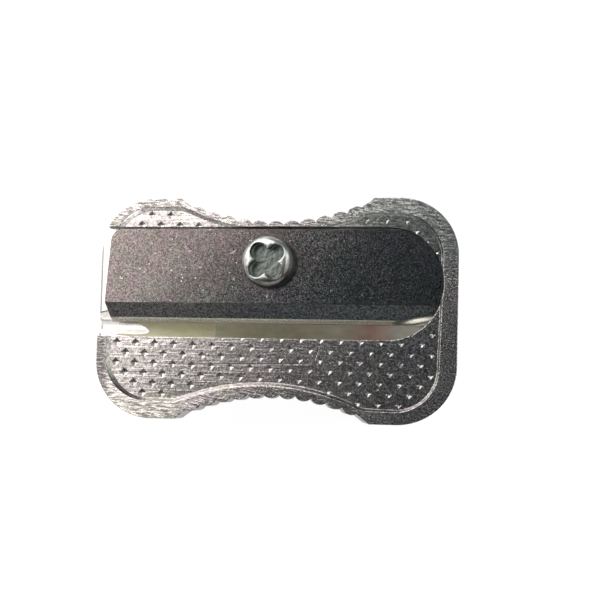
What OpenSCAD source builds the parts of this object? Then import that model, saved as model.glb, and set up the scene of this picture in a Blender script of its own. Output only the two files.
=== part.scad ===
// Hand-held wedge pencil sharpener: a metal body with a tapered bore, a bevelled blade
// seated in a sloping pocket, and one cross-recessed screw that clamps the blade.
//
// The body stands on z = 0 with its middle at x = y = 0. The pencil enters from +X along X,
// and the top face rises towards +X by the half-angle of the bore's cone, so that the blade's
// cutting edge lies along one straight line of the cone.

/* [Body] */
// Length from the point end to the pencil end
body_l = 25; // [24:0.5:27]
// Width across the corners
body_w = 15.5; // [15:0.5:16]
// Thickness at the pencil end
body_h = 11; // [10.8:0.1:12]
// Slope of the top face, which is also the half-angle of the sharpened cone, in degrees
slope = 11.8; // [11.4:0.1:12.2]
// Radius of the four corners seen from above
corner_r = 4; // [3:0.25:5]

/* [Grip] */
// Width between the two hollowed sides, at the bottom of the flutes
waist_w = 11.75; // [11.25:0.25:12.5]
// Radius of the hollow in each side
waist_r = 15.5; // [14:0.5:18]
// Number of rounded ridges on each side, between the two shoulders
ridge_count = 11; // [9:2:11]
// Angle from one ridge to the next, seen from the hollow's centre, in degrees
ridge_pitch = 4.1; // [3.8:0.1:4.4]
// Height of a ridge above the flutes
ridge_h = 0.28; // [0.2:0.02:0.4]
// Distance from the middle to where the straight sides end
shoulder_x = 6.72; // [6.6:0.04:7]

/* [Stamped field] */
// Depth of the sunk field below the rim, at the middle
field_depth = 0.25; // [0.2:0.05:0.35]
// Width of the raised rim round the ends and corners
field_rim = 0.92; // [0.8:0.02:1.2]
// Width of the raised rim along the hollowed sides
waist_rim = 0.48; // [0.4:0.02:0.8]
// Width of the sloping wall between rim and field
field_draft = 0.2; // [0.1:0.02:0.3]
// Radius that rounds the field's outline into the hollowed sides
field_blend_r = 1.5; // [1:0.25:3]
// How far the stamp sits turned on the body, in degrees
stamp_turn = -1.4; // [-2:0.1:2]
// How much deeper the stamp went in towards the point end, in degrees
stamp_tilt = 0.35; // [0:0.05:0.5]
// How far the stamp sits towards the point end
stamp_shift = 0.14; // [0:0.02:0.3]
// How far the stamp sits towards the blade's side
stamp_side = 0.1; // [0:0.02:0.2]
// Half of the spacing of the dimples along a row
dimple_step = 0.7; // [0.6:0.05:0.9]
// Half-diagonal of a dimple at the middle
dimple_r = 0.26; // [0.2:0.01:0.3]
// Share by which the dimples grow towards the point end and shrink towards the pencil end
dimple_fade = 0.2; // [0:0.05:0.3]
// Depth of a dimple as a share of its half-diagonal
dimple_steep = 0.4; // [0.3:0.05:0.8]

/* [Blade pocket] */
// Depth of the pocket below the top face
pocket_depth = 1.1; // [1:0.05:1.3]
// Distance of the pocket's back wall from the middle
pocket_back = 5.76; // [5.66:0.02:5.82]
// Distance of the pocket's front wall from the middle
pocket_front = 2.03; // [1.9:0.01:2.1]
// How far the pocket reaches towards the pencil end
pocket_reach = 11.8; // [11.4:0.1:11.9]

/* [Bore] */
// Height of the bore's axis above the base
bore_z = 5.5; // [5.4:0.05:5.6]
// Diameter of the straight mouth that guides the pencil
mouth_d = 8.2; // [8:0.1:8.4]
// Chamfer round the mouth
mouth_chamfer = 0.3; // [0.1:0.1:0.5]
// Diameter of the pilot bore at the point end
pilot_d = 2.2; // [2:0.1:2.2]
// Where the pilot drill stopped, along the body
pilot_end = -4.3; // [-4.6:0.1:-4]
// How far the blade's underside cuts into the cone
bite = 0.08; // [0.04:0.01:0.12]
// Width of the ball-nosed notch that clears the pencil's point
notch_w = 1; // [0.8:0.1:1.2]
// Depth of the notch below the top face
notch_depth = 1.96; // [1.8:0.02:2.1]
// Distance of the notch from the middle
notch_y = -1.3; // [-1.4:0.05:-1.2]

/* [Blade] */
// Thickness of the blade
blade_t = 0.72; // [0.6:0.02:0.8]
// Clearance between the blade and the pocket's end and front
blade_gap = 0.06; // [0.04:0.01:0.1]
// Clearance between the blade and the pocket's back wall
back_gap = 0.1; // [0.06:0.01:0.14]
// Distance of the cutting edge in front of the middle
edge_y = 0.96; // [0.92:0.01:1]
// Where the ground bevel starts, behind the middle
bevel_y = 0.4; // [0.3:0.05:0.6]
// Width of the honed strip along the cutting edge
hone_w = 0.34; // [0.2:0.02:0.5]
// Height of the honed strip's upper border
hone_h = 0.24; // [0.16:0.02:0.3]

/* [Screw] */
// Diameter of the screw's head
head_d = 3.64; // [3.4:0.02:3.8]
// Height of the screw's head
head_h = 1.15; // [1:0.05:1.3]
// Radius of the rounding between the head's rim and its flat top
head_edge_r = 0.65; // [0.4:0.05:0.8]
// Diameter of the threaded shank
shank_d = 2.46; // [2.4:0.02:2.48]
// Length of the screw under its head
shank_l = 4.5; // [4:0.25:5]
// Width of each arm of the cross recess
recess_w = 1.2; // [1:0.05:1.3]
// Distance across the cross recess
recess_span = 2.96; // [2.6:0.02:3]
// Depth of the cross recess
recess_depth = 0.8; // [0.6:0.05:0.9]
// Turn of the cross recess, in degrees
recess_turn = 40; // [0:5:90]
// Chamfer at the tip of the shank
tip_chamfer = 0.3; // [0.1:0.1:0.5]

/* [Hidden] */
$fn = 96;

over = 2;                                          // how far a cutter runs past a surface
face_mid_z = body_h - body_l / 2 * tan(slope);     // height of the top face above the origin
face_half_l = body_l / 2 / cos(slope);             // half the top face's length, along the slope
waist_y = waist_w / 2 + waist_r;                   // centre of each hollow

ridge_chord = 2 * waist_r * sin(ridge_pitch / 2);
ridge_r = (ridge_chord * ridge_chord / 4 + ridge_h * ridge_h) / (2 * ridge_h);
ridge_dist = waist_r - ridge_h + ridge_r;          // from the hollow's centre to a ridge's centre

// A shoulder is the slanted end of a hollow, from the body's straight side to the last ridge
shoulder_a = ridge_count * ridge_pitch / 2;
shoulder_foot = [(waist_r - ridge_h / 4) * sin(shoulder_a),
                 waist_y - (waist_r - ridge_h / 4) * cos(shoulder_a)];
shoulder_run = [shoulder_x, body_w / 2] - shoulder_foot;

field_half_l = face_half_l - field_rim;
field_half_w = body_w / 2 - field_rim;
field_corner_r = corner_r - field_rim;
field_waist_r = waist_r + waist_rim;
draft_rate = field_draft / field_depth;            // outward travel of the wall per height
field_lift = 0.5;                                  // how far the field's cutter rises above the face
blend_y = field_half_w - field_blend_r;
blend_x = sqrt(pow(field_waist_r + field_blend_r, 2) - pow(waist_y - blend_y, 2));
blend_end = atan2(waist_y - blend_y, -blend_x);    // direction in which the blend meets the hollow
dimple_margin = 0.3;                               // least distance of a dimple from the outer rim
waist_margin = 1.3;                                // the same from the waist's rim, in half-diagonals
dimple_lap = 0.01;                                 // how far a dimple's parts run past the floor
dimple_cols = floor(field_half_l / dimple_step);
dimple_rows = ceil(body_w / 2 / dimple_step);

pocket_w = pocket_back + pocket_front;
pocket_mid_y = (pocket_back - pocket_front) / 2;
pocket_arc_x = pocket_reach - pocket_w / 2;

// The cone's radius is cone_r0 at x = 0 and grows by tan(slope) along X. Its top line runs
// parallel to the pocket floor, higher by the bite.
cone_r0 = face_mid_z - pocket_depth / cos(slope) - bore_z + bite;
mouth_x = (mouth_d / 2 - cone_r0) / tan(slope);
pilot_step = (pilot_d / 2 - cone_r0 - pilot_end * tan(slope)) / (1 + tan(slope));

screw_x = -0.45;                                   // place of the screw on the top face
screw_y = 3.3;
tapped_d = 2.5;                                    // hole for the shank, in the body
tapped_spare = 0.8;                                // room below the screw's tip
hole_clearance = 0.15;                             // round the shank, in the blade

blade_end_x = [-12.45, -12.13];                    // point end of the blade, at the bevel and the back
blade_clip = 0.42;                                 // how far the bevel's point-end corner is clipped
blade_corner_r = 0.9;                              // at the back of the point end

// Places things in the frame of the top face: its middle, X up the slope, Z out of the face
module on_slope() {
    translate([0, 0, face_mid_z]) rotate([0, -slope, 0]) children();
}

// Rectangle with round corners, made of two bars and four discs
module rounded_plan(half_l, half_w, r) {
    square([2 * half_l, 2 * (half_w - r)], center = true);
    square([2 * (half_l - r), 2 * half_w], center = true);
    for (sx = [-1, 1], sy = [-1, 1])
        translate([sx * (half_l - r), sy * (half_w - r)]) circle(r);
}

// Outline of the body: round corners, hollowed sides with slanted ends, and rounded ridges
module body_plan() {
    near = shoulder_foot - 2 * shoulder_run;
    far = shoulder_foot + 2 * shoulder_run;
    difference() {
        rounded_plan(body_l / 2, body_w / 2, corner_r);
        for (sy = [-1, 1]) intersection() {
            translate([0, sy * waist_y]) circle(waist_r, $fn = 360);
            polygon([[near[0], sy * near[1]], [far[0], sy * far[1]],
                     [-far[0], sy * far[1]], [-near[0], sy * near[1]]]);
        }
    }
    for (i = [0 : ridge_count - 1], sy = [-1, 1]) {
        a = (i - (ridge_count - 1) / 2) * ridge_pitch;
        translate([ridge_dist * sin(a), sy * (waist_y - ridge_dist * cos(a))])
            circle(ridge_r, $fn = 48);
    }
}

// Solid with the body's outline, cut off by the sloping top face
module blank() {
    difference() {
        linear_extrude(body_h + over) body_plan();
        on_slope() translate([-body_l, -body_w, 0]) cube([2 * body_l, 2 * body_w, body_h]);
    }
}

// Upright cone from the field's floor to above the face, as wide as r at the face. It widens by
// the draft where spread is 1 and narrows by it where spread is -1.
module drafted_cone(r, spread) {
    translate([0, 0, -field_depth])
        cylinder(h = field_depth + field_lift, r1 = r - spread * field_draft,
                 r2 = r + spread * field_lift * draft_rate);
}

// Bar whose two long sides lean outwards by the draft
module drafted_bar(half_l, half_w) {
    foot = half_w - field_draft;
    top = half_w + field_lift * draft_rate;
    rotate([90, 0, 90]) linear_extrude(2 * half_l, center = true)
        polygon([[-foot, -field_depth], [foot, -field_depth], [top, field_lift], [-top, field_lift]]);
}

// Cutter of the sunk field: a rectangle with round corners, less the two hollowed sides, whose
// ends are rounded off by the sector beyond each blend cone
module field_cutter() {
    difference() {
        union() {
            drafted_bar(field_half_l - field_corner_r, field_half_w);
            rotate([0, 0, 90]) drafted_bar(field_half_w - field_corner_r, field_half_l);
            for (sx = [-1, 1], sy = [-1, 1])
                translate([sx * (field_half_l - field_corner_r), sy * (field_half_w - field_corner_r), 0])
                    drafted_cone(field_corner_r, 1);
        }
        for (sy = [-1, 1]) translate([0, sy * waist_y, 0]) drafted_cone(field_waist_r, -1);
        for (sx = [-1, 1], sy = [-1, 1])
            translate([sx * blend_x, sy * blend_y, 0]) difference() {
                translate([0, 0, -body_h / 2]) linear_extrude(body_h)
                    polygon([[0, 0], [0, sy * 2 * field_blend_r],
                             2 * field_blend_r * [sx * cos(blend_end), sy * sin(blend_end)]]);
                drafted_cone(field_blend_r, 1);
            }
    }
}

// Half-diagonal of a dimple that lies x from the stamp's middle
function dimple_size(x) = dimple_r * (1 - dimple_fade * x / field_half_l);

// True where a dimple lies on the sunk field
function on_field(p) =
    let (x = abs(p[0]), y = abs(p[1]),
         cx = field_half_l - field_corner_r, cy = field_half_w - field_corner_r)
    x <= field_half_l - dimple_margin && y <= field_half_w - dimple_margin
    && (x < cx || y < cy || norm([x - cx, y - cy]) <= field_corner_r - dimple_margin)
    && norm([x, waist_y - y]) >= field_waist_r + waist_margin * dimple_size(p[0]);

// A point of the stamp in the frame of the top face
function stamped(p) = [p[0] * cos(stamp_turn) - p[1] * sin(stamp_turn) - stamp_shift,
                       p[0] * sin(stamp_turn) + p[1] * cos(stamp_turn) + stamp_side];

// True beside the pocket, where most of a dimple still shows
function beside_pocket(p) =
    let (spare = dimple_r / 2,
         past_arc = norm([p[0] - pocket_arc_x, p[1] - pocket_mid_y]) > pocket_w / 2 - spare)
    p[1] > pocket_back - spare || p[1] < spare - pocket_front || p[0] > pocket_arc_x && past_arc;

// Four-sided pit, with a narrower shaft that takes it straight up through the leaning wall. Both
// run on a little past the field's floor, so that no two faces lie in one plane.
module dimple(r) {
    flare = dimple_lap / dimple_steep;
    translate([0, 0, -field_depth - r * dimple_steep])
        cylinder(h = r * dimple_steep + dimple_lap, r1 = 0, r2 = r + flare, $fn = 4);
    translate([0, 0, -field_depth - dimple_lap])
        cylinder(h = field_depth + field_lift, r = r - 2 * flare, $fn = 4);
}

// Dimples on a diagonal lattice, in the stamp's own frame
module dimples() {
    for (i = [-dimple_cols : dimple_cols], j = [-dimple_rows : dimple_rows]) {
        p = [i * dimple_step, j * dimple_step];
        if ((i + j) % 2 == 0 && on_field(p) && beside_pocket(stamped(p)))
            translate([p[0], p[1], 0]) dimple(dimple_size(p[0]));
    }
}

// Plan of the pocket: open at the point end, half round at the pencil end
module pocket_plan(gap = 0) {
    translate([-body_l, -pocket_front + gap])
        square([body_l + pocket_arc_x, pocket_w - 2 * gap]);
    translate([pocket_arc_x, pocket_mid_y]) circle(pocket_w / 2 - gap);
}

// Pocket floor and walls
module blade_pocket() {
    on_slope() translate([0, 0, -pocket_depth]) linear_extrude(pocket_depth + over) pocket_plan();
}

// Pilot bore, reamed cone, straight mouth and its chamfer, turned about the bore's axis
module bore() {
    translate([0, -edge_y, bore_z]) rotate([0, 90, 0]) rotate_extrude()
        polygon([[0, -body_l],
                 [pilot_d / 2, -body_l],
                 [pilot_d / 2, pilot_end],
                 [pilot_d / 2 - pilot_step, pilot_end + pilot_step],
                 [mouth_d / 2, mouth_x],
                 [mouth_d / 2, body_l / 2 - mouth_chamfer],
                 [mouth_d / 2 + mouth_chamfer + over, body_l / 2 + over],
                 [0, body_l / 2 + over]]);
}

// Slot between the cutting edge and the pocket's front wall, where the shaving leaves
module chip_slot() {
    intersection() {
        on_slope() translate([0, 0, -body_h]) linear_extrude(body_h) intersection() {
            pocket_plan();
            translate([-body_l, -pocket_front])
                square([2 * body_l, pocket_front - edge_y]);
        }
        translate([-body_l, -body_w, bore_z]) cube([2 * body_l, 2 * body_w, body_h]);
    }
}

// Ball-nosed notch at the point end, cut parallel to the pocket floor
module point_notch() {
    nose_z = notch_w / 2 - notch_depth;
    on_slope() translate([-body_l, notch_y, nose_z]) {
        rotate([0, 90, 0]) cylinder(h = body_l + pilot_end, d = notch_w);
        translate([0, -notch_w / 2, 0]) cube([body_l + pilot_end, notch_w, -nose_z - pocket_depth]);
    }
}

module sharpener_body() {
    color([0.62, 0.61, 0.59]) difference() {
        blank();
        on_slope() translate([-stamp_shift, stamp_side, 0]) rotate([0, -stamp_tilt, stamp_turn]) {
            field_cutter();
            dimples();
        }
        blade_pocket();
        bore();
        chip_slot();
        point_notch();
        on_slope() translate([screw_x, screw_y, -pocket_depth - shank_l + blade_t - tapped_spare])
            cylinder(h = body_h, d = tapped_d);
    }
}

// Outline of the blade: slanted and rounded at the point end, round at the pencil end
module blade_plan() {
    back = pocket_back - back_gap;
    r = blade_corner_r;
    intersection() {
        pocket_plan(blade_gap);
        union() {
            polygon([[blade_end_x[0] + blade_clip, -edge_y],
                     [blade_end_x[0], bevel_y],
                     [blade_end_x[1], back - r],
                     [blade_end_x[1] + r, back],
                     [pocket_reach, back],
                     [pocket_reach, -edge_y]]);
            translate([blade_end_x[1] + r, back - r]) circle(r);
        }
    }
}

// Ground section of the blade: flat top, bevel, honed strip and flat underside
module blade_section() {
    polygon([[-edge_y, 0], [-edge_y + hone_w, hone_h], [bevel_y, blade_t],
             [pocket_back, blade_t], [pocket_back, 0]]);
}

module blade() {
    color([0.38, 0.37, 0.38]) on_slope() translate([0, 0, -pocket_depth]) difference() {
        intersection() {
            linear_extrude(blade_t) blade_plan();
            rotate([90, 0, 90]) linear_extrude(2 * body_l, center = true) blade_section();
        }
        translate([screw_x, screw_y, -over])
            cylinder(h = blade_t + 2 * over, d = shank_d + 2 * hole_clearance);
    }
}

// Pan head turned about Z: upright rim, rounded edge and flat top
module screw_head() {
    rotate_extrude() {
        square([head_d / 2, head_h - head_edge_r]);
        square([head_d / 2 - head_edge_r, head_h]);
        intersection() {
            translate([head_d / 2 - head_edge_r, head_h - head_edge_r]) circle(head_edge_r);
            square([head_d / 2, head_h]);
        }
    }
}

// Cross recess: two slots with round ends, at right angles
module cross_recess() {
    reach = (recess_span - recess_w) / 2;
    for (a = [0, 90]) rotate([0, 0, recess_turn + a]) {
        translate([-reach, -recess_w / 2, 0]) cube([2 * reach, recess_w, recess_depth + over]);
        for (s = [-1, 1]) translate([s * reach, 0, 0])
            cylinder(h = recess_depth + over, d = recess_w, $fn = 48);
    }
}

module blade_screw() {
    color([0.75, 0.77, 0.77]) on_slope() translate([screw_x, screw_y, blade_t - pocket_depth]) {
        difference() {
            screw_head();
            translate([0, 0, head_h - recess_depth]) cross_recess();
        }
        translate([0, 0, tip_chamfer - shank_l]) cylinder(h = shank_l - tip_chamfer, d = shank_d);
        translate([0, 0, -shank_l])
            cylinder(h = tip_chamfer, d1 = shank_d - 2 * tip_chamfer, d2 = shank_d);
    }
}

sharpener_body();
blade();
blade_screw();
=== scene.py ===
"""Looks of a hand-held wedge pencil sharpener: a sawn and stamped magnesium alloy body, a hardened
steel blade and a bright-plated cross-recessed screw.

In the materials, body is a place in the part's own frame, in mm. sloped is the same place in the
frame of the sloping top face: X up the slope, Y across, and Z out of the face, so -Z is depth.
Colours are sRGB hex, and tints are linear factors that multiply a colour or a light."""

import math
from types import SimpleNamespace

import bpy
from mathutils import Matrix, Vector


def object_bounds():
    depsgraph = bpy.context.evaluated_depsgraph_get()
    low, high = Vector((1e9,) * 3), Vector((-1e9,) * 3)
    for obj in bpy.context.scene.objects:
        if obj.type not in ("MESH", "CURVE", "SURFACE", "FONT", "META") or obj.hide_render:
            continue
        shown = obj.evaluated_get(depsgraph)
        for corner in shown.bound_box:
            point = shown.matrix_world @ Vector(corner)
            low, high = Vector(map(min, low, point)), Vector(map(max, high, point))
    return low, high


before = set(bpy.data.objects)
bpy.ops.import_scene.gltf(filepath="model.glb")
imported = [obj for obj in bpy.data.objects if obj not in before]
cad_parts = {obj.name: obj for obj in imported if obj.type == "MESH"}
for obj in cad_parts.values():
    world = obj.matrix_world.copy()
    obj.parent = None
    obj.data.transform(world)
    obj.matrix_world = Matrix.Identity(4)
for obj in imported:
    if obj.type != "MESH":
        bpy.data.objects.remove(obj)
cad_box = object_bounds()

MM = 0.001
SLOPE = math.radians(11.8)              # tilt of the top face, rising towards +X
HALF_L = cad_box[1][0]                  # half the body's length
FACE_MID_Z = cad_box[1][2] - HALF_L * math.tan(SLOPE)       # height of the top face at X = 0

# Sizes of the body that its finishes follow, in mm, with depths below the top face
POINT_END = -HALF_L / MM                # X of the end where the pencil's point comes out
POCKET_DEPTH = 1.1
FIELD_DEPTH = 0.25
MOUTH_R = 4.1
PILOT_END = -4.3                        # X of the step between the pilot bore and the cone
BORE_AXIS = (0, -0.96, 5.5)             # in body
NOTCH_AXIS = (0, -1.3, -1.46)           # in sloped
NOTCH_R = 0.5
NEAR_HOLLOW = (0, -21.4, 0)             # centre of the hollow in the near side, in body
HOLLOW_R = 15.5

# Directions: level to the key light, the top face's normal, and the normals that mirror the key or
# the front light to a viewer above
KEY_SIDE = (-0.77, 0.64, 0)
FACE_NORMAL = (-math.sin(SLOPE), 0, math.cos(SLOPE))
MIRRORS_KEY = (-0.38, 0.32, 0.87)
MIRRORS_FRONT = (0, -0.59, 0.81)

# Patterns, in noise cells a millimetre along each axis. The real marks and grains are 0.02 to
# 0.05 mm wide, too fine to show, so each is drawn as coarse as it needs to show, at the size here.
SAW_MARKS = (1.5, 6.5, 1.0)             # 0.7 mm long, 0.15 mm wide
CROSS_MARKS = (1.2, 7.0, 1.0)           # 0.8 mm long, 0.14 mm wide
RUB_MARKS = (0.3, 7.0, 1.0)             # 3.3 mm long, 0.14 mm wide
DRAW_LINES = (11.0, 11.0, 0.12)         # 8 mm long, 0.09 mm wide
BODY_GRAIN = (4.0, 4.0, 4.0)            # 0.25 mm
BODY_SPECKS = (7.5, 7.5, 7.5)           # 0.13 mm
DIMPLE_SHADE_GRAIN = (5.0, 5.0, 5.0)         # 0.2 mm
REAMER_MARKS = (0.9, 2.2, 2.2)          # 1.1 mm long, 0.45 mm wide
BLADE_GRAIN = (9.0, 9.0, 9.0)           # 0.11 mm
BLADE_SPECKS = (4.0, 4.0, 4.0)          # 0.25 mm, of which only the peaks show
GRINDER_MARKS = (8.0, 10.0, 1.0)        # 0.12 mm long, 0.1 mm wide

# Stains and unevenness that are wide enough to be drawn at their real size
SAW_PATCHES = (0.35, 0.35, 0.35)        # 3 mm
TEMPER_STAINS = (0.9, 0.9, 0.9)         # 1.1 mm
BLADE_SHADE = (0.45, 0.45, 0.45)        # 2.2 mm
PLATING_WAVES = (2.6, 2.6, 2.6)         # 0.4 mm

# Single scratches on the stamped field: middle and half length in mm, turn in degrees
SCRATCHES = [((-1.5, -3.82), 4.7, 0.7), ((3.1, -3.06), 0.62, 72), ((7.1, -5.64), 0.48, -49),
             ((7.4, -5.35), 0.3, 60), ((-9.6, -4.5), 1.6, 1.0), ((-9.0, -3.4), 1.2, 0.5)]
SCRATCH_HALF_W = 0.05

# Radii of the edges
SAWN_EDGE = 0.06 * MM
HANDLED_EDGE = 0.17 * MM
BLADE_EDGE = 0.05 * MM
PLATED_EDGE = 0.17 * MM


def linear(hex_colour):
    """sRGB hex string to linear RGBA."""
    channels = [int(hex_colour[i:i + 2], 16) / 255 for i in (0, 2, 4)]
    return tuple(c / 12.92 if c <= 0.04045 else ((c + 0.055) / 1.055) ** 2.4 for c in channels) + (1.0,)


def add(tree, kind, *values, out=None, named=None, **settings):
    """Adds a node and gives its first output, or the one that out names. Settings are the node's own
    properties. Values go to its inputs in order, and named ones by the input's name: a socket is
    linked, and anything else is set."""
    node = tree.nodes.new("ShaderNode" + kind)
    for name, value in settings.items():
        setattr(node, name, value)
    pairs = list(zip([socket for socket in node.inputs if socket.enabled], values))
    pairs += [(node.inputs[name], value) for name, value in (named or {}).items()]
    for socket, value in pairs:
        if isinstance(value, bpy.types.NodeSocket):
            tree.links.new(value, socket)
        else:
            socket.default_value = value
    if out:
        return node.outputs[out]
    return next((socket for socket in node.outputs if socket.enabled), None)


def new_material(name):
    """An empty node material and its tree."""
    material = bpy.data.materials.new(name)
    material.use_nodes = True
    material.node_tree.nodes.clear()
    return material, material.node_tree


def dress(node_name, material):
    """Puts one material on a CAD node."""
    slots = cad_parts[node_name].data.materials
    slots.clear()
    slots.append(material)


def noise(tree, where, per_mm, detail=2.0, roughness=0.5, turn=0):
    """Noise with so many cells a millimetre along each axis, turned about Z by degrees."""
    turned = add(tree, "Mapping", where, (0, 0, 0), (0, 0, math.radians(turn)))
    shaped = add(tree, "VectorMath", turned, per_mm, operation="MULTIPLY")
    return add(tree, "TexNoise", shaped, 1.0, detail, roughness)


def slope_frame(tree):
    """The places body and sloped, the cosine between the surface and the top face, and the
    surface's own normal."""
    where = add(tree, "TexCoord", out="Object")
    body = add(tree, "VectorMath", where, 1 / MM, operation="SCALE")
    lowered = add(tree, "VectorMath", body, (0, 0, FACE_MID_Z / MM), operation="SUBTRACT")
    sloped = add(tree, "Mapping", lowered, (0, 0, 0), (0, SLOPE, 0))
    normal = add(tree, "NewGeometry", out="True Normal")
    facing = add(tree, "VectorMath", normal, FACE_NORMAL, operation="DOT_PRODUCT")
    return body, sloped, facing, normal


def wavy(tree, where, normal, amount, per_mm):
    """The normal leaned to and fro by slow noise of so many cells a millimetre, as on a surface that
    isn't quite flat."""
    slow = add(tree, "TexNoise", where, per_mm, 1.0, out="Color")
    lean = add(tree, "VectorMath", slow, (0.5, 0.5, 0.5), operation="SUBTRACT")
    sized = add(tree, "VectorMath", lean, amount, operation="SCALE")
    leaned = add(tree, "VectorMath", normal, sized, operation="ADD")
    return add(tree, "VectorMath", leaned, operation="NORMALIZE")


def leaned_to(tree, normal, towards, mask, share):
    """The normal brought nearer to a direction, by a share of the way where the mask is 1."""
    part = add(tree, "Math", mask, share, operation="MULTIPLY")
    nearer = add(tree, "Mix", part, normal, towards, data_type="VECTOR")
    return add(tree, "VectorMath", nearer, operation="NORMALIZE")


def spot(tree, where, centre, half_length, half_width, turn):
    """1 in the middle of a long, thin ellipse on the top face, 0 outside it."""
    local = add(tree, "Mapping", where, (*centre, 0), (0, 0, math.radians(turn)),
                (half_length, half_width, 1000.0), vector_type="TEXTURE")
    reach = add(tree, "VectorMath", local, operation="LENGTH")
    return add(tree, "MapRange", reach, 0.2, 1.0, 1.0, 0.0)


def from_line(tree, where, through):
    """Distance from the line along X through a point."""
    across = add(tree, "VectorMath", where, (0, 1, 1), operation="MULTIPLY")
    return add(tree, "VectorMath", across, through, operation="DISTANCE")


def bore_zones(tree, body, sloped, normal):
    """Two masks below the pocket's floor: 1 in the reamed bore, within the mouth's radius of its axis,
    and 1 in the notch and at the very end, where a painted highlight makes the metal white."""
    depth = add(tree, "SeparateXYZ", sloped, out="Z")
    inside = add(tree, "MapRange", depth, -0.08 - POCKET_DEPTH, -0.02 - POCKET_DEPTH, 1.0, 0.0)
    near_axis = add(tree, "MapRange", from_line(tree, body, BORE_AXIS), MOUTH_R + 0.05, MOUTH_R + 0.1,
                    1.0, 0.0)
    inside = add(tree, "Math", inside, near_axis, operation="MULTIPLY")
    end_on = add(tree, "Math", add(tree, "SeparateXYZ", normal, out="X"), operation="ABSOLUTE")
    off_end_face = add(tree, "MapRange", end_on, 0.85, 0.95, 1.0, 0.0)
    inside = add(tree, "Math", inside, off_end_face, operation="MULTIPLY")

    notch = add(tree, "MapRange", from_line(tree, sloped, NOTCH_AXIS), NOTCH_R, NOTCH_R + 0.03, 1.0, 0.0)
    along = add(tree, "SeparateXYZ", body, out="X")
    very_end = add(tree, "MapRange", along, POINT_END + 1.2, POINT_END + 1.5, 1.0, 0.0)
    glare_zone = add(tree, "Math", notch, very_end, operation="MAXIMUM")
    glare_zone = add(tree, "Math", inside, glare_zone, operation="MULTIPLY")
    return add(tree, "Math", inside, glare_zone, operation="SUBTRACT"), glare_zone


def body_zones(tree, body, sloped, facing, normal):
    """Where a place is on the body: how far along and across it, and masks that are 1 on surfaces
    that lie with the top face, on those below the rim, and on the pocket's floor, the step, the
    dimples' walls, the upright sides and the bore."""
    along = add(tree, "SeparateXYZ", body, out="X")
    across = add(tree, "SeparateXYZ", body, out="Y")
    depth = add(tree, "SeparateXYZ", sloped, out="Z")
    towards_pencil_end = add(tree, "MapRange", along, -2.0, 9.0)
    upright = add(tree, "MapRange", add(tree, "SeparateXYZ", normal, out="Z"), 0.05, 0.15, 1.0, 0.0)

    on_top = add(tree, "MapRange", facing, 0.93, 0.97)
    below_rim = add(tree, "MapRange", depth, 0.13 - FIELD_DEPTH, 0.19 - FIELD_DEPTH, 1.0, 0.0)
    in_pocket = add(tree, "MapRange", depth, 0.15 - POCKET_DEPTH, 0.3 - POCKET_DEPTH, 1.0, 0.0)
    in_pocket = add(tree, "Math", on_top, in_pocket, operation="MULTIPLY")

    # The drafted wall between rim and field, picked by its slope
    step = add(tree, "Math", add(tree, "MapRange", facing, 0.5, 0.58),
               add(tree, "MapRange", facing, 0.66, 0.74, 1.0, 0.0), operation="MULTIPLY")

    # Sunk surfaces that don't lie with the top face, and among them the dimples' walls
    sunk_slope = add(tree, "Math", 1.0, on_top, operation="SUBTRACT")
    sunk_slope = add(tree, "Math", below_rim, sunk_slope, operation="MULTIPLY")
    dimple = add(tree, "Math", sunk_slope, add(tree, "MapRange", depth, -0.8, -0.7), operation="MULTIPLY")
    dimple = add(tree, "Math", dimple, add(tree, "Math", 1.0, upright, operation="SUBTRACT"),
                 operation="MULTIPLY")
    dimple = add(tree, "Math", dimple, add(tree, "MapRange", facing, 0.7, 0.76), operation="MULTIPLY")

    bore, glare_zone = bore_zones(tree, body, sloped, normal)
    return SimpleNamespace(along=along, across=across, towards_pencil_end=towards_pencil_end, upright=upright,
                           on_top=on_top, below_rim=below_rim, in_pocket=in_pocket, step=step,
                           sunk_slope=sunk_slope, dimple=dimple, bore=bore, glare_zone=glare_zone)


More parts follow.
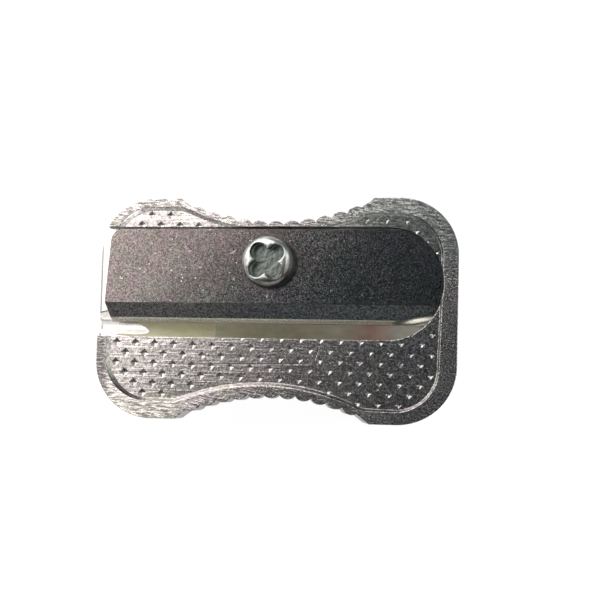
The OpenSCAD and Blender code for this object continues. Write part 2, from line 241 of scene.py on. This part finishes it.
def body_relief(tree, zone, body, sloped, patches):
    """The height of the body's fine marks, from 0 to 1, and the light and dark that go with them."""
    sawn = noise(tree, sloped, SAW_MARKS, 4.0, 0.65, turn=12)
    cut_across = noise(tree, sloped, CROSS_MARKS, 4.0, 0.65, turn=2)
    streaks = add(tree, "Mix", add(tree, "MapRange", patches, 0.42, 0.58), sawn, cut_across)
    grain = noise(tree, sloped, BODY_GRAIN, 3.0, 0.7)
    rim = add(tree, "Mix", 0.4, add(tree, "MapRange", streaks, 0.35, 0.65), grain)

    rubbed = noise(tree, sloped, RUB_MARKS, 3.0, 0.6, turn=0.5)
    stamped = add(tree, "Mix", 0.4, grain, add(tree, "MapRange", rubbed, 0.5, 0.7, 0.4, 1.0))
    for centre, half_length, turn in SCRATCHES:
        line = spot(tree, sloped, centre, half_length, SCRATCH_HALF_W, turn)
        stamped = add(tree, "Math", line, -0.6, stamped, operation="MULTIPLY_ADD")

    top = add(tree, "Mix", zone.below_rim, rim, stamped)
    relief = add(tree, "Mix", zone.on_top, grain, top)
    relief = add(tree, "Mix", zone.upright, relief, noise(tree, body, DRAW_LINES, 4.0, 0.7))
    smooth = add(tree, "Math", zone.upright, 0.4, operation="MULTIPLY")
    smooth = add(tree, "Math", zone.in_pocket, smooth, operation="MAXIMUM")
    relief = add(tree, "Mix", smooth, relief, 0.5)

    speckled = add(tree, "Math", add(tree, "MapRange", zone.along, -9.0, 8.0, 0.3, 0.8),
                   add(tree, "MapRange", zone.across, 3.0, 5.0, 1.0, 0.6), operation="MULTIPLY")
    tone = add(tree, "Mix", speckled, relief, noise(tree, sloped, BODY_SPECKS, 2.0, 0.7))
    tone = add(tree, "Mix", zone.in_pocket, add(tree, "MapRange", tone, 0.38, 0.62), 0.9)
    relief = add(tree, "Mix", add(tree, "MapRange", zone.along, 0.0, 9.0, 0.0, 0.4), relief, 0.5)
    return relief, tone


def body_edges(tree, zone, body):
    """The normal with the edges rounded: sharp as sawn, but rounder along the near side, where the
    sharpener is held."""
    level = add(tree, "VectorMath", body, (1, 1, 0), operation="MULTIPLY")
    from_hollow = add(tree, "VectorMath", level, NEAR_HOLLOW, operation="DISTANCE")
    held = add(tree, "Math", add(tree, "MapRange", from_hollow, HOLLOW_R + 0.6, HOLLOW_R + 0.9, 1.0, 0.0),
               add(tree, "MapRange", zone.across, -6.3, -6.0, 1.0, 0.0), operation="MAXIMUM")
    off_corner = add(tree, "Math", add(tree, "MapRange", zone.along, -9.0, -7.0),
                     add(tree, "MapRange", zone.across, 2.0, 3.0), operation="MAXIMUM")
    held = add(tree, "Math", held, off_corner, operation="MULTIPLY")
    held = add(tree, "Math", held, add(tree, "MapRange", zone.along, 2.0, 6.0, 1.0, 0.0),
               operation="MULTIPLY")
    return add(tree, "Bevel", add(tree, "Mix", held, SAWN_EDGE, HANDLED_EDGE), samples=6)


def rim_twist(tree, zone):
    """What the saw's uneven cut adds to the rim's normal: a lean to or from the key light that changes
    along the body and across it."""
    along, across = zone.along, zone.across
    lean = add(tree, "Math", add(tree, "MapRange", along, -12.1, -11.3, -0.05, 0.04),
               add(tree, "MapRange", along, -6.0, 0.0, 0.0, -0.06), operation="ADD")
    lean = add(tree, "Math", lean, add(tree, "MapRange", across, -1.0, 3.0, 1.0, 0.3), operation="MULTIPLY")
    lean = add(tree, "Math", lean, add(tree, "MapRange", along, 3.0, 9.0, 0.0, 0.04), operation="ADD")
    back = add(tree, "Math", add(tree, "MapRange", along, 1.0, 6.0),
               add(tree, "MapRange", across, 2.0, 5.0, 0.0, -0.004), operation="MULTIPLY")
    lean = add(tree, "Math", lean, back, operation="ADD")
    corner = add(tree, "Math", add(tree, "MapRange", along, -8.0, -5.0, -0.035, 0.0),
                 add(tree, "MapRange", across, 4.5, 6.0), operation="MULTIPLY")
    lean = add(tree, "Math", lean, corner, operation="ADD")
    rim = add(tree, "Math", zone.on_top, zone.below_rim, operation="SUBTRACT")
    lean = add(tree, "Math", lean, rim, operation="MULTIPLY")
    return add(tree, "VectorMath", KEY_SIDE, lean, operation="SCALE")


def body_normal(tree, zone, sloped, relief, round_edge):
    """The rounded edges' normal with the fine marks, the saw's twist and the worn spots."""
    normal = add(tree, "Bump", named={"Strength": 1.0, "Distance": 0.014 * MM, "Height": relief,
                                      "Normal": round_edge})
    normal = add(tree, "VectorMath", normal, rim_twist(tree, zone), operation="ADD")
    normal = wavy(tree, sloped, normal, 0.045, 0.28)

    # The far step is polished towards the point end
    polished = add(tree, "Math", zone.step, add(tree, "MapRange", zone.across, 2.0, 3.0),
                   operation="MULTIPLY")
    polished = add(tree, "Math", polished, add(tree, "MapRange", zone.along, -3.0, 0.0, 0.42, 0.0),
                   operation="MULTIPLY")
    normal = leaned_to(tree, normal, MIRRORS_FRONT, polished, 0.8)

    # The dimples' walls are blunter towards the point end, and the normal nearly flat in the notch and very
    # end
    blunt = add(tree, "MapRange", zone.along, -2.0, 6.0, 0.4, 0.0)
    normal = leaned_to(tree, normal, FACE_NORMAL, zone.dimple, blunt)
    return leaned_to(tree, normal, FACE_NORMAL, zone.glare_zone, 0.95)


def body_colour(tree, zone, sloped, tone, patches):
    """Bare light grey metal, its specks more contrasted towards the pencil's end, with painted shade on the
    step.
    """
    along, across = zone.along, zone.across
    # Towards the pencil's end the dark specks darken and the light ones whiten
    dark = add(tree, "Mix", zone.towards_pencil_end, linear("8f8d8b"), linear("68686a"), data_type="RGBA")
    light = add(tree, "Mix", zone.towards_pencil_end, linear("f4f2ef"), linear("ffffff"), data_type="RGBA")
    colour = add(tree, "Mix", tone, dark, light, data_type="RGBA")
    side = add(tree, "Mix", tone, linear("b0aeab"), linear("cecbc7"), data_type="RGBA")
    colour = add(tree, "Mix", zone.upright, colour, side, data_type="RGBA")
    # Painted shade on the step between rim and field, deeper towards the pencil's end
    step_shade = add(tree, "Math", zone.step, add(tree, "MapRange", along, 1.0, 6.0, 0.0, 0.5),
               operation="MULTIPLY")
    colour = add(tree, "Mix", step_shade, colour, linear("5a5652"), data_type="RGBA")

    # Pinkish and yellowish patches, and a greenish far corner at the pencil's end
    tint = add(tree, "Mix", add(tree, "MapRange", patches, 0.4, 0.6), (1.0, 0.94, 0.97, 1),
               (1.0, 0.99, 0.95, 1), data_type="RGBA")
    corner = add(tree, "Math", add(tree, "MapRange", along, 2.0, 7.0),
                 add(tree, "MapRange", across, 1.0, 5.0), operation="MULTIPLY")
    tint = add(tree, "Mix", corner, tint, (0.95, 1.0, 0.96, 1), data_type="RGBA")
    colour = add(tree, "Mix", 1.0, colour, tint, data_type="RGBA", blend_type="MULTIPLY")

    # Painted shade in the dimples, painted highlight at the notch and very end, painted shadow at the
    # pocket's end
    # Painted shade: dark grainy patches on the dimples' walls, more towards the pencil's end, that break
    # their highlights into specks
    dimple_shade = add(tree, "Math", zone.dimple, zone.towards_pencil_end, operation="MULTIPLY")
    grain = add(tree, "MapRange", noise(tree, sloped, DIMPLE_SHADE_GRAIN, 1.0), 0.4, 0.55, 1.0, 0.0)
    dimple_shade = add(tree, "Math", dimple_shade, grain, operation="MULTIPLY")
    colour = add(tree, "Mix", dimple_shade, colour, linear("605e5c"), data_type="RGBA")
    # A painted highlight: the notch and the very end made near-white
    bright = add(tree, "Math", zone.glare_zone, 0.7, operation="MULTIPLY")
    colour = add(tree, "Mix", bright, colour, linear("f4f2ef"), data_type="RGBA")
    # A painted shadow line along the pocket floor's edge at the point end
    end_shadow_line = add(tree, "MapRange", along, POINT_END + 0.09, POINT_END + 0.14, 0.8, 0.0)
    end_shadow_line = add(tree, "Math", zone.in_pocket, end_shadow_line, operation="MULTIPLY")
    return add(tree, "Mix", end_shadow_line, colour, linear("6a6866"), data_type="RGBA")


def bore_colour(tree, zone, body):
    """Reamed metal, mottled by the reamer: yellowish, browner then grey towards the mouth. The pilot bore is
    painted lighter than past its step, as light and shade of the bend, and the step where the pilot drill
    stopped has a painted highlight line."""
    # Painted light and shade: lighter in the pilot bore than past its step
    colour = add(tree, "Mix", add(tree, "MapRange", zone.along, PILOT_END - 0.1, PILOT_END + 0.1),
                 linear("f2edd2"), linear("dcd8c6"), data_type="RGBA")
    colour = add(tree, "Mix", add(tree, "MapRange", zone.along, 4.5, 7.0), colour, linear("b08e84"),
                 data_type="RGBA")
    colour = add(tree, "Mix", add(tree, "MapRange", zone.along, 7.5, 9.0), colour, linear("98938a"),
                 data_type="RGBA")
    # A white line painted at the step, as its highlight
    off_step = add(tree, "Math", zone.along, PILOT_END, operation="SUBTRACT")
    off_step = add(tree, "Math", off_step, operation="ABSOLUTE")
    colour = add(tree, "Mix", add(tree, "MapRange", off_step, 0.04, 0.1, 0.6, 0.0), colour,
                 linear("ffffff"), data_type="RGBA")
    marks = add(tree, "MapRange", noise(tree, body, REAMER_MARKS, 3.0, 0.6), 0.38, 0.62)
    mottle = add(tree, "Mix", marks, (0.93, 0.92, 0.92, 1), (1.06, 1.08, 1.08, 1), data_type="RGBA")
    return add(tree, "Mix", 1.0, colour, mottle, data_type="RGBA", blend_type="MULTIPLY")


def magnesium():
    """Magnesium alloy drawn to a fluted section, sawn to the slope, stamped and milled. Bare metal, a
    light grey: sawn rim with fine slanting streaks, stamped field grainy with long scratches, milled
    pocket nearly mirror-smooth, reamed bore dull, drawn sides with upright lines."""
    material, tree = new_material("sawn_and_stamped_magnesium_alloy")
    body, sloped, facing, normal = slope_frame(tree)
    zone = body_zones(tree, body, sloped, facing, normal)
    patches = noise(tree, sloped, SAW_PATCHES)
    relief, tone = body_relief(tree, zone, body, sloped, patches)
    round_edge = body_edges(tree, zone, body)
    rough = add(tree, "MapRange", relief, 0.35, 0.65, 0.24, 0.16)
    rough = add(tree, "Mix", zone.sunk_slope, rough, 0.33)
    bare = add(tree, "BsdfPrincipled",
               named={"Base Color": body_colour(tree, zone, sloped, tone, patches), "Metallic": 1.0,
                      "Roughness": rough, "Normal": body_normal(tree, zone, sloped, relief, round_edge)})
    reamed = add(tree, "BsdfPrincipled",
                 named={"Base Color": bore_colour(tree, zone, body), "Metallic": 0.15,
                        "Roughness": 0.42, "Normal": round_edge})
    add(tree, "OutputMaterial", add(tree, "MixShader", zone.bore, bare, reamed))
    return material


def blade_colour(tree, body, sloped, relief, flat, hone_and_highlight):
    """Dark steel, with painted shade darker and cooler towards the pencil's end and the edge, away from
    the key light; painted glints as white specks and temper stains all over, the hone's lighter strip,
    and a painted highlight on the bevel's point end."""
    towards_end = add(tree, "VectorMath", body, (1.0, -1.2, 0), operation="DOT_PRODUCT")
    # Painted shade: darker towards the pencil's end and the edge, away from the key light
    shade = add(tree, "Math", noise(tree, sloped, BLADE_SHADE), 9.0, towards_end, operation="MULTIPLY_ADD")
    darker = add(tree, "MapRange", shade, -4.0, 8.0)
    tone = add(tree, "MapRange", relief, 0.35, 0.65)
    low = add(tree, "Mix", darker, linear("545252"), linear("363636"), data_type="RGBA")
    high = add(tree, "Mix", darker, linear("a8a4a4"), linear("c8c8c8"), data_type="RGBA")
    colour = add(tree, "Mix", tone, low, high, data_type="RGBA")
    # Painted glints: white specks on the steel
    painted_glints = add(tree, "MapRange", noise(tree, sloped, BLADE_SPECKS, 2.0, 0.6), 0.69, 0.73, 0.0, 0.9)
    colour = add(tree, "Mix", painted_glints, colour, linear("ffffff"), data_type="RGBA")

    stain = add(tree, "MapRange", noise(tree, sloped, TEMPER_STAINS), 0.4, 0.6)
    warm = add(tree, "Mix", stain, (0.93, 0.81, 0.81, 1), (0.87, 0.835, 0.77, 1), data_type="RGBA")
    cool = add(tree, "Mix", stain, (0.6, 0.62, 0.68, 1), (0.6, 0.66, 0.66, 1), data_type="RGBA")
    # The stains turn cool and dark in the painted shade
    tint = add(tree, "Mix", add(tree, "MapRange", shade, -7.0, 6.0), warm, cool, data_type="RGBA")
    colour = add(tree, "Mix", 1.0, colour, tint, data_type="RGBA", blend_type="MULTIPLY")

    # The hone's lighter strip, also painted on the highlight spot
    strip = add(tree, "Mix", tone, linear("9a998c"), linear("cccbc0"), data_type="RGBA")
    colour = add(tree, "Mix", hone_and_highlight, colour, strip, data_type="RGBA")
    # Painted highlight: the bevel and edges lighter and more contrasted at the point end, nearest the key
    # light
    lit_point_end = add(tree, "Math", add(tree, "Math", 1.0, flat, operation="SUBTRACT"),
                add(tree, "MapRange", towards_end, -9.0, -1.0, 0.3, 0.0), operation="MULTIPLY")
    lit_point_colour = add(tree, "Mix", tone, linear("5c5a56"), linear("ffffff"), data_type="RGBA")
    return add(tree, "Mix", lit_point_end, colour, lit_point_colour, data_type="RGBA")


def blade_steel():
    """Carbon steel strip, hardened and tumbled: dark violet-grey satin with painted glints and faint
    temper stains, the bevel ground smooth and darker, the hone's strip along the edge lighter."""
    material, tree = new_material("hardened_blade_steel")
    body, sloped, facing, _ = slope_frame(tree)
    flat = add(tree, "MapRange", facing, 0.98, 0.995)
    ground = noise(tree, sloped, GRINDER_MARKS, 3.0, 0.7)
    relief = add(tree, "Mix", flat, ground, noise(tree, sloped, BLADE_GRAIN, 2.0, 0.8))
    normal = add(tree, "Bump", named={"Strength": 1.0, "Distance": 0.005 * MM, "Height": relief,
                                      "Normal": add(tree, "Bevel", BLADE_EDGE, samples=6)})
    normal = wavy(tree, sloped, normal, 0.03, 0.3)

    # A long highlight spot at the pencil's end: the normal leaned to mirror the key light, and the hone's
    # lighter colour painted on
    highlight_spot = spot(tree, sloped, (10.0, -0.6), 2.4, 0.36, 10)
    normal = leaned_to(tree, normal, MIRRORS_KEY, highlight_spot, 0.75)
    hone_and_highlight = add(tree, "MapRange", facing, 0.84, 0.87, 1.0, 0.0)
    hone_and_highlight = add(tree, "Math", hone_and_highlight, highlight_spot, operation="MAXIMUM")

    colour = blade_colour(tree, body, sloped, relief, flat, hone_and_highlight)
    steel = add(tree, "BsdfPrincipled",
                named={"Base Color": colour, "Metallic": 1.0, "Roughness": add(tree, "Mix", flat, 0.34, 0.2),
                       "Normal": normal})
    add(tree, "OutputMaterial", steel)
    return material


def zinc_plate():
    """Steel screw under bright zinc plate: smooth, slightly greenish, a little uneven; darker and duller low
    on the head and in the recess, and painted shade on the side away from the key light."""
    material, tree = new_material("bright_zinc_plate")
    body, sloped, _, normal = slope_frame(tree)
    uneven = noise(tree, sloped, PLATING_WAVES, 3.0)
    bump = add(tree, "Bump", named={"Strength": 1.0, "Distance": 0.05 * MM, "Height": uneven,
                                    "Normal": add(tree, "Bevel", PLATED_EDGE, samples=8)})
    colour = add(tree, "Mix", add(tree, "MapRange", uneven, 0.35, 0.65), linear("c3c8c5"),
                 linear("e3e6e4"), data_type="RGBA")
    # Painted shade on the faces turned away from the key light
    away = add(tree, "VectorMath", normal, (0.6, -0.8, 0), operation="DOT_PRODUCT")
    colour = add(tree, "Mix", add(tree, "MapRange", away, 0.02, 0.25, 0.0, 0.85), colour,
                 linear("5e605f"), data_type="RGBA")
    # Painted shade on the near, right-hand part of the head
    near_half = add(tree, "VectorMath", body, (0.5, -0.87, 0), operation="DOT_PRODUCT")
    colour = add(tree, "Mix", add(tree, "MapRange", near_half, -2.5, -1.9, 0.0, 0.7), colour,
                 linear("77706c"), data_type="RGBA")
    # Darker and duller low on the head, down into the recess
    recess = add(tree, "MapRange", add(tree, "SeparateXYZ", sloped, out="Z"), 0.0, 0.1, 1.0, 0.0)
    colour = add(tree, "Mix", recess, colour, linear("868d89"), data_type="RGBA")
    plated = add(tree, "BsdfPrincipled",
                 named={"Base Color": colour, "Metallic": 1.0,
                        "Roughness": add(tree, "Mix", recess, 0.33, 0.4), "Normal": bump})
    add(tree, "OutputMaterial", plated)
    return material


def make_floor():
    """Plain painted table top, matt white, that reaches 0.6 m each way. It is nearly all white to the
    camera and partly so to mirrors and glass, and keeps the object's shadow."""
    reach = 0.6
    corners = [(-reach, -reach, 0), (reach, -reach, 0), (reach, reach, 0), (-reach, reach, 0)]
    mesh = bpy.data.meshes.new("floor")
    mesh.from_pydata(corners, [], [(0, 1, 2, 3)])
    floor = bpy.data.objects.new("floor", mesh)
    bpy.context.scene.collection.objects.link(floor)
    material, tree = new_material("white_table")
    paint = add(tree, "BsdfDiffuse", linear("ededed"))
    glow = add(tree, "Emission", linear("ffffff"), 1.12)
    mirrored = add(tree, "Math", add(tree, "LightPath", out="Is Glossy Ray"),
                   add(tree, "LightPath", out="Is Transmission Ray"), operation="MAXIMUM")
    mirrored = add(tree, "Math", mirrored, 0.35, operation="MULTIPLY")
    white = add(tree, "Math", add(tree, "LightPath", out="Is Camera Ray"), 0.85, mirrored,
                operation="MULTIPLY_ADD")
    add(tree, "OutputMaterial", add(tree, "MixShader", white, paint, glow))
    mesh.materials.append(material)


def make_world(strength, tint):
    """Dim, even light from the room."""
    world = bpy.data.worlds.new("room")
    bpy.context.scene.world = world
    world.use_nodes = True
    background = world.node_tree.nodes["Background"]
    background.inputs["Color"].default_value = tint
    background.inputs["Strength"].default_value = strength


def make_panel(name, azimuth, elevation, distance, size, radiance, tint):
    """A soft area lamp that faces the sharpener: angles in degrees, lengths in metres, and how bright
    its face looks, where 1 is white."""
    lamp = bpy.data.lights.new(name, "AREA")
    lamp.shape = "RECTANGLE"
    lamp.size, lamp.size_y = size
    lamp.color = tint
    lamp.energy = radiance * math.pi * size[0] * size[1]
    turn = math.radians(azimuth)
    lift = math.radians(elevation)
    centre = Vector((0, 0, FACE_MID_Z))
    away = Vector((math.cos(lift) * math.cos(turn), math.cos(lift) * math.sin(turn), math.sin(lift)))
    panel = bpy.data.objects.new(name, lamp)
    bpy.context.scene.collection.objects.link(panel)
    panel.location = centre + away * distance
    panel.rotation_euler = away.to_track_quat("Z", "Y").to_euler()


def make_camera():
    """Camera almost straight above the sharpener, turned a little about its view."""
    aim = Vector((1.83, 0.69, 8.39)) * MM
    place = Vector((1.98, -6.29, 105.08)) * MM
    roll = math.radians(1.5)
    forward = (aim - place).normalized()
    right = forward.cross(Vector((-math.sin(roll), math.cos(roll), 0))).normalized()
    up = right.cross(forward)
    data = bpy.data.cameras.new("camera")
    data.sensor_width = 36
    data.lens = 84
    data.clip_start = 0.005
    camera = bpy.data.objects.new("camera", data)
    camera.matrix_world = Matrix.Translation(place) @ Matrix((right, up, -forward)).transposed().to_4x4()
    bpy.context.scene.collection.objects.link(camera)
    bpy.context.scene.camera = camera


make_camera()
make_floor()
make_world(0.055, (0.9, 1.0, 1.06, 1))
make_panel("key", 140, 30, 0.15, (0.19, 0.19), 2.25, (1.0, 0.96, 0.935))
make_panel("front_fill", 270, 18, 0.25, (0.30, 0.08), 2.1, (0.99, 1.0, 0.97))
make_panel("side_fill", 5, 45, 0.25, (0.24, 0.2), 2.2, (0.97, 1.0, 0.95))
dress("sharpener_body", magnesium())
dress("blade", blade_steel())
dress("blade_screw", zinc_plate())

bpy.context.scene.view_settings.view_transform = "Standard"
